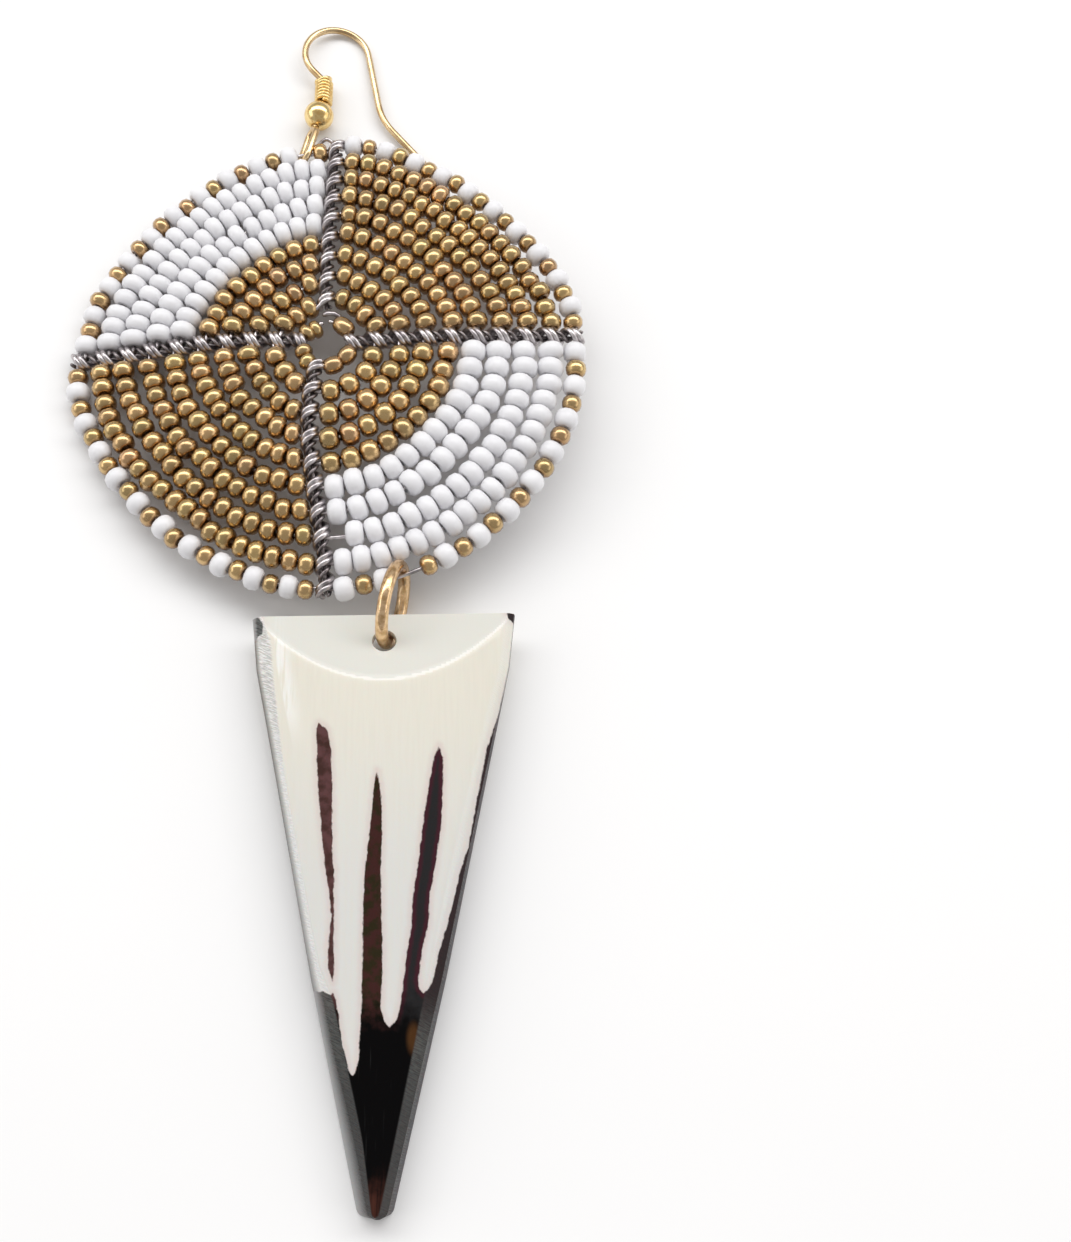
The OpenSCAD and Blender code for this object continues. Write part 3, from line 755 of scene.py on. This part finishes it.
# The side walls get higher from the top to the tip, less and less steeply.
def wallHeight(s):
    far = s / drop["length"]
    return drop["wallTop"] + (drop["wallTip"] - drop["wallTop"]) * far * (1.64 - 0.64 * far)


# The walls lean in, so the front is narrower than the back. The right one leans evenly, and
# the left one was filed by hand, so its width seen from above changes on the way down.
def frontWidth(s, side):
    filed = np.interp(s, *drop["leftFiled"])
    return halfWidth(s) - np.where(side < 0, filed, wallHeight(s) * tan(radians(drop["rightLean"])))


# The lower of several heights, rounded over where two of them are nearly the same.
def softMin(heights, blend):
    return -blend * np.log(sum(np.exp(-h / blend) for h in heights))


# The front's crown, a cylinder along the drop that gets lower toward the tip by a smooth step.
def crownHeight(x, s):
    far = np.clip((s - drop["thinFrom"]) / drop["thinOver"], 0, 1)
    return (drop["thick"] - drop["tipThinner"] * far * far * (3 - 2 * far) - drop["frontR"]
            + np.sqrt(drop["frontR"] ** 2 - x ** 2))


# The top bevel rises evenly from the top edge.
def topHeight(s):
    return drop["topThick"] + s * (drop["thick"] - drop["topThick"]) / drop["faceLen"]


# How steeply the side bevels rise: the right one evenly, the left one over the width it was
# filed to.
def sideRise(s, side):
    wide = np.interp(s, *drop["leftBevel"])
    top = np.minimum(crownHeight(frontWidth(s, side) - wide, s), topHeight(s))
    left = np.maximum((top - wallHeight(s)) / wide, drop["leastRise"])
    return np.where(side < 0, left, 1 / tan(radians(drop["sideLean"])))


# Height of the front: the lowest of a cylinder, the bevel at the top and the two side bevels.
def frontHeight(x, s):
    sides = [wallHeight(s) + (frontWidth(s, hand) - hand * x) * sideRise(s, hand) for hand in (-1, 1)]
    return softMin([crownHeight(x, s), topHeight(s) + 0 * x, *sides], drop["blend"])


# From across and down to the drop's own frame; the top edge is a little askew.
def dropPoint(x, s, z):
    return np.stack([x, -s + x * tan(radians(drop["topSkew"])) * (1 - s / drop["length"]), z], -1)


# A grid for the front and one for the back, with a square left out round the hole. The
# hole's rings blend from a circle to the square's edge. Strips close the walls and ends.
def dropParts():
    even = np.linspace(0, 1, drop["rows"])
    down = drop["length"] * (0.8 * even + 0.2 * (1 - np.cos(pi * even)) / 2)
    columns = np.linspace(-1, 1, drop["columns"] + 1)
    columns = 0.62 * columns + 0.38 * np.sin(pi / 2 * columns)  # closer together at the edges
    middle = drop["columns"] // 2
    i0 = np.searchsorted(down, drop["holeIn"] - drop["squareHalf"])
    i1 = np.searchsorted(down, drop["holeIn"] + drop["squareHalf"])
    j0, j1 = middle - drop["squareColumns"], middle + drop["squareColumns"]
    i, j = np.meshgrid(np.arange(drop["rows"] - 1), np.arange(drop["columns"]), indexing="ij")
    outside = ~((i >= i0) & (i < i1) & (j >= j0) & (j < j1)).ravel()
    faces = gridFaces(drop["rows"], drop["columns"] + 1)[outside]
    loop = np.array([(i0, c) for c in range(j0, j1)] + [(r, j1) for r in range(i0, i1)]
                    + [(i1, c) for c in range(j1, j0, -1)] + [(r, j0) for r in range(i1, i0, -1)])
    s = np.repeat(down[:, None], drop["columns"] + 1, 1)
    hole = drop["holeD"] / 2 + drop["holePlay"]
    share = np.array([0, 0.12, 0.35, 0.65, 1])[:, None]
    parts, grids, rims = [], [], []
    for isFront in (True, False):
        x = columns * (frontWidth(s, columns + 0 * s) if isFront else halfWidth(s))
        grid = dropPoint(x, s, frontHeight(x, s) if isFront else 0 * x)
        edgeX, edgeS = x[tuple(loop.T)], s[tuple(loop.T)]
        if isFront:
            bearing = np.arctan2(edgeS - drop["holeIn"], edgeX)
        ringX = (1 - share) * hole * np.cos(bearing) + share * edgeX
        ringS = (1 - share) * (drop["holeIn"] + hole * np.sin(bearing)) + share * edgeS
        rings = dropPoint(ringX, ringS, frontHeight(ringX, ringS) if isFront else 0 * ringX)
        parts += [(grid, faces), (rings, gridFaces(5, len(loop), False, True))]
        grids.append(grid)
        rims.append(rings[0])
    depth = np.array([0, 0.06, 0.12, 0.88, 0.94, 1])[:, None, None]
    inset = np.array([0, 0.05, 0.07, 0.07, 0.05, 0])[:, None, None]
    outFromHole = np.stack([np.cos(bearing), -np.sin(bearing), 0 * bearing], -1)
    bore = rims[0] * (1 - depth) + rims[1] * depth - outFromHole * inset
    parts.append((bore, gridFaces(6, len(loop), False, True)))
    both = np.stack(grids)
    for wall in (both[:, 0], both[:, -1], both[:, :, 0], both[:, :, -1]):
        parts.append((wall, gridFaces(2, wall.shape[1])))
    return parts


# Outlines of the dye on the front: across, then down from the top edge. The main one runs down
# the right edge, round its spikes and over the black lower part. The others are a spike on the
# left and the two top corners.
dyeOutlines = [
    [(12.4, 6.6), (11.9, 8.4), (11.4, 10.4), (10.3, 13.7), (9.7, 16.8), (9, 20.5), (8.4, 23.7),
     (7.7, 25.8), (7.1, 28.4), (6.4, 31.1), (5.6, 33.7), (5.1, 36.3), (4.6, 37.2), (4.2, 37.5),
     (3.8, 37), (3.7, 36.3), (4, 33.7), (4.6, 31.1), (4.7, 28.4), (5.2, 25.8), (5.3, 24.9),
     (5.8, 21.4), (5.9, 17.7), (5.9, 15), (5.5, 13.8), (5, 15), (4.5, 17.8), (4, 21.4),
     (3.6, 24.9), (3.5, 25.8), (3.1, 28.4), (3, 31.1), (2.6, 33.7), (2.3, 36.3), (2.1, 38.1),
     (2, 38.8), (1.7, 39.9), (1.1, 40.6), (0.5, 39.9), (0.2, 38.8), (0.3, 36.3), (0.3, 33.7),
     (0.1, 28.4), (0, 25.8), (0.1, 23.1), (0, 19.5), (-0.2, 17.8), (-0.5, 16.4), (-0.8, 17.8),
     (-0.9, 19.5), (-1.2, 23.1), (-1.5, 25.8), (-1.6, 28.4), (-1.6, 33.7), (-1.6, 36.3),
     (-1.6, 38.8), (-1.7, 41.4), (-1.75, 43.3), (-1.95, 44.4), (-2.3, 44.9), (-2.65, 44.4),
     (-2.9, 43.4), (-3.4, 41.6), (-3.8, 38.8), (-4.2, 37.4), (-4.5, 37.6), (-5.1, 37.3),
     (-9, 36.8), (-9, 62), (9, 62), (16, 6)],
    [(-6.3, 11.6), (-5.4, 12.3), (-5, 14.2), (-4.8, 17.8), (-4.7, 21.4), (-4.6, 24.9),
     (-4.4, 25.8), (-4.4, 28.4), (-4.3, 30.4), (-4.3, 33), (-4.2, 35), (-4.3, 36.5), (-4.8, 35),
     (-4.8, 33), (-4.6, 30.4), (-4.8, 28.4), (-5.3, 25.8), (-5.4, 24.9), (-5.8, 21.4),
     (-6.2, 17.8), (-6.4, 14.2), (-6.5, 12.3)],
    [(-13.6, 0.2), (-12.6, 0.5), (-12.1, 1.3), (-12.2, 2.2), (-13.2, 2.8)],
    [(13.6, -0.8), (12.3, -0.4), (12.5, 0.2), (13.4, 0.7)]]


# Distance from each point to the nearest side of the outlines, above 0 inside them. A point
# is inside when a line from it to the right crosses the outline an odd number of times.
def insideDistance(x, y):
    nearest, inside = np.full(len(x), 1e9), np.zeros(len(x), bool)
    for outline in dyeOutlines:
        a = np.array(outline) * [1, -1]
        b = np.roll(a, -1, 0)
        d = b - a
        px, py = x[:, None] - a[:, 0], y[:, None] - a[:, 1]
        along = np.clip((px * d[:, 0] + py * d[:, 1]) / (d ** 2).sum(1), 0, 1)
        nearest = np.minimum(nearest, np.hypot(px - along * d[:, 0], py - along * d[:, 1]).min(1))
        steep = np.where(d[:, 1] == 0, 1e-9, d[:, 1])
        crossed = ((py < 0) != (y[:, None] < b[:, 1])) & (px < d[:, 0] * py / steep)
        inside ^= crossed.sum(1) % 2 == 1
    return np.where(inside, nearest, -nearest)


boneLook = {
    "cream": (0.765, 0.735, 0.64, 1), "creamLow": (0.68, 0.68, 0.655, 1),
    "streak": (0.70, 0.665, 0.58, 1), "sheen": (0.90, 0.895, 0.87, 1),
    "topBevel": (0.66, 0.66, 0.615, 1), "topRidge": (0.93, 0.92, 0.90, 1),
    "bleed": (0.62, 0.49, 0.47, 1), "plum": (0.11, 0.05, 0.05, 1),
    "plumDeep": (0.055, 0.026, 0.022, 1), "warm": (0.05, 0.018, 0.016, 1),
    "warmDeep": (0.026, 0.02, 0.009, 1), "cool": (0.05, 0.015, 0.022, 1),
    "coolDeep": (0.022, 0.021, 0.022, 1), "black": (0.0022, 0.002, 0.0022, 1),
    "amber": (0.085, 0.036, 0.012, 1), "rust": (0.075, 0.026, 0.018, 1),
    "dust": (0.062, 0.06, 0.06, 1), "filedDust": (0.125, 0.13, 0.12, 1),
    "rightDust": (0.034, 0.024, 0.025, 1), "dyedWall": (0.10, 0.095, 0.10, 1),
    "filed": (0.90, 0.90, 0.89, 1), "hatched": (0.80, 0.80, 0.78, 1),
    "hatchedTop": (0.50, 0.50, 0.48, 1), "rightBevel": (0.84, 0.84, 0.82, 1),
    "bareWall": (0.09, 0.09, 0.087, 1), "bareWallLow": (0.19, 0.19, 0.185, 1)}


# Polished bone with dyed spikes. Attributes: across and along in mm, dye as the distance
# inside the dyed outline, bevel on the side bevels, wall on the side walls, top on the top
# bevel, and inner as the distance in from the front's edge.
def boneMaterial():
    look = boneLook
    bone = Shader("dyedBone", coatRoughness=0.07, subsurfaceWeight=0.1, subsurfaceScale=1 * mm,
                  specularIORLevel=0.04)
    mix, step, noise, vector = bone.mix, bone.step, bone.noise, bone.vector
    across, along, dye, bevel, wall, top, inner = (
        bone.attribute(name) for name in ("across", "along", "dye", "bevel", "wall", "top", "inner"))
    left = step(across, 0.3, -0.3)
    down = along * -1
    streaks = noise(vector(across, along * 0.06), 3.2, 3)
    ragged = noise(vector(across * 1.6, along * 0.8), 1.5, 3, 0.6)
    blot = noise(vector(across, along), 0.9, 3)
    lines = noise(vector(across * 5, along * 0.13), 1, 2)
    marks = noise(vector(across * 1.2, along * 7.5 + across * 4), 1, 3, 0.6)
    filed = step(marks, 0.36, 0.64)

    # Bare bone: cream with streaks, a painted sheen of light down the left, the top bevel greyer and with
    # painted shade, and a painted highlight on its ridge
    low = step(down, 6, 30)
    bare = mix(low, look["cream"], look["creamLow"])
    bare = mix(step(streaks, 0.35, 0.75) * 0.3, bare, look["streak"])
    # Painted sheen: a lighter streaked band down the left, a little in from the edge.
    sheen = step(inner, 1.5, 1.8) * step(inner, 3.6, 2) * left
    sheen = sheen * step(along, -15, -8) * step(streaks, 0.3, 0.55)
    bare = mix(sheen * 0.8, bare, look["sheen"])
    # The top bevel is a greyer tone and darker with painted shade; a painted highlight runs along its
    # ridge.
    bare = mix(top * 0.85, bare, look["topBevel"])
    bare = mix(step(abs(top - 0.5), 0.5, 0.3) * 0.4, bare, look["topRidge"])
    edge = dye + 0.36 * (ragged - 0.5)
    bare = mix(step(edge, -0.75, 0.05) * 0.5, bare, look["bleed"])

    # The dye: plum, warm and cool browns from left to right, black lower down, two brown patches
    plum = mix(step(blot, 0.35, 0.65), look["plum"], look["plumDeep"])
    warm = mix(step(blot, 0.4, 0.62), look["warm"], look["warmDeep"])
    cool = mix(step(edge, 0.2, 0.6), look["cool"], look["coolDeep"])
    dark = mix(step(across, 1.2, 2.4), warm, cool)
    dark = mix(step(across, -3.2, -3.8), dark, plum)
    corner = mix(filed * left * bevel, grey(0.03), grey(0.6))
    dark = mix(step(along, -3.5, -2.5), dark, corner)
    black = mix(step(lines, 0.66, 0.8), look["black"], grey(0.02))
    dark = mix(step(down + (blot - 0.5) * 5, 37, 41), dark, black)
    fromPatch = ((across - 3.3) * (across - 3.3) * 3 + (along + 41.6) * (along + 41.6) * 0.6) ** 0.5
    dark = mix((1 - step(fromPatch, 0.5, 1.5)) * 0.8, dark, look["amber"])
    rusty = step(down + (blot - 0.5) * 4, 53, 56.5) * step(streaks, 0.3, 0.6)
    dark = mix(rusty * 0.8, dark, look["rust"])

    # Filed bevels and side walls, dyed and bare: the bare walls painted dark as shade, the left bevel
    # whiter partly from filing and partly as painted light, the right bevel with a painted highlight
    worn = filed * (0.25 + 0.75 * step(along, -50, -38))
    dusty = mix(worn, look["dust"], look["filedDust"])
    dusty = mix((1 - left) * step(along, -43, -37), dusty, look["rightDust"])
    dark = mix(bevel * 0.9, dark, dusty)
    dark = mix(wall, dark, mix(left, look["dyedWall"], grey(0.42)))
    # The left bevel is whiter partly from filing and partly as painted light; the right bevel gets a
    # painted highlight.
    hatched = mix(step(along, -20, -8), look["hatched"], look["hatchedTop"])
    leftBevel = mix(filed, hatched, look["filed"])
    bare = mix(bevel * (0.25 + 0.6 * left), bare, mix(left, look["rightBevel"], leftBevel))
    # Painted shade: the bare side walls are dark grey, a little lighter lower down.
    bare = mix(wall, bare, mix(low, look["bareWall"], look["bareWallLow"]))

    dyed = step(edge, -0.06, 0.08)
    relief = filed * bevel * (0.15 + 0.45 * left) + streaks * 0.12 + ragged * 0.02
    bone.feed(baseColor=mix(dyed, bare, dark), coatWeight=0.35 - 0.31 * dyed,
              roughness=0.17 + 0.08 * streaks + 0.3 * bevel * filed + 0.25 * wall,
              normal=bone.bump(relief, 0.12 * mm, 0.6))
    return bone.material


# The drop is made in its own frame, where the material's values are worked out from its
# points, and then laid in its place.
drawn = makePiece("dyed_drop", dropParts(), boneMaterial(), ["bone_drop"])
local = np.zeros(len(drawn.data.vertices) * 3, np.float32)
drawn.data.vertices.foreach_get("co", local)
local = local.reshape(-1, 3).astype(float) / mm
x, y, z = local.T
s = -y + x * tan(radians(drop["topSkew"])) * (1 + y / drop["length"])
onDropS = np.clip(s, 0, drop["length"])
inFromEdge = frontWidth(onDropS, x) - abs(x)
aboveSide = (np.minimum(crownHeight(x, s), topHeight(s)) - wallHeight(s)
             - inFromEdge * sideRise(onDropS, x))
isFace = z > 0.3                                # not on the flat back
giveValues(drawn.data, {
    "across": x, "along": y, "dye": insideDistance(x, y),
    "bevel": np.clip(aboveSide / 0.12 + 0.5, 0, 1) * isFace,
    "wall": np.clip(-inFromEdge / 0.08, 0, 1), "inner": inFromEdge,
    "top": np.clip((crownHeight(x, s) - topHeight(s)) / 0.06 + 0.5, 0, 1) * isFace})
drawn.data.vertices.foreach_set("co", np.float32(onDrop(local) * mm).ravel())
drawn.data.set_sharp_from_angle(angle=radians(drop["sharpFrom"]))
soften = drawn.modifiers.new("softEdges", "BEVEL")
soften.limit_method = "ANGLE"
soften.angle_limit = radians(drop["sharpFrom"])
soften.width = drop["softEdge"] * mm
soften.segments = 2
print("drop made")

# Floor, lights and camera. Sizes and places are in metres and power in watts here; each light
# has its name, place, size and power, and faces the earring.
studio = {"floorHalf": 4, "floorGreys": (0.9, 0.92), "world": (0.95, 0.93, 0.92, 1), "strength": 0.45,
          "lights": [("key", (0.03, 0.60, 0.88), (2.6, 0.42), 14.3),
                     ("leftFill", (-0.95, 0.05, 0.45), (0.9, 0.5), 2.0),
                     ("rightFill", (0.95, -0.15, 0.45), (0.9, 0.5), 1.5)]}
view = {"at": (0.00796, -0.05906, 0.1625), "right": (0.99593, 0.00298, 0.09008),
        "up": (-0.03051, 0.95158, 0.30590), "lens": 47.515, "sensor": 36, "nearest": 0.001}


# A lamp or camera looks against the direction that is square to its right and up.
def aim(thing, right, up, at):
    turned = np.eye(4)
    turned[:3] = np.stack([right, up, np.cross(right, up), at], 1)
    thing.matrix_world = Matrix(turned.tolist())


floorLook = Shader("paleFloor", roughness=0.9)
cloudy = floorLook.noise(floorLook.place(), 30.0)
floorLook.feed(baseColor=floorLook.mix(cloudy, *map(grey, studio["floorGreys"])))
floorMesh = bpy.data.meshes.new("floor")
half = studio["floorHalf"]
floorMesh.from_pydata([(-half, -half, 0), (half, -half, 0), (half, half, 0), (-half, half, 0)], [],
                      [(0, 1, 2, 3)])
floorMesh.materials.append(floorLook.material)
floor = linked("floor", floorMesh)

for name, at, size, power in studio["lights"]:
    light = bpy.data.lights.new(name, "AREA")
    light.shape = "RECTANGLE"
    light.size, light.size_y = size
    light.energy = power
    backward = unit(np.array(at))
    sideways = unit(np.cross(up, backward))
    aim(linked(name, light), sideways, np.cross(backward, sideways), at)

world = bpy.data.worlds.new("studio")
scene.world = world
world.use_nodes = True
background = world.node_tree.nodes["Background"].inputs
background["Color"].default_value = studio["world"]
background["Strength"].default_value = studio["strength"]

cameraData = bpy.data.cameras.new("camera")
cameraData.lens = view["lens"]
cameraData.sensor_width = view["sensor"]
cameraData.clip_start = view["nearest"]
camera = linked("camera", cameraData)
aim(camera, view["right"], view["up"], view["at"])
scene.camera = camera
scene.view_settings.view_transform = "Standard"
print("stage made")
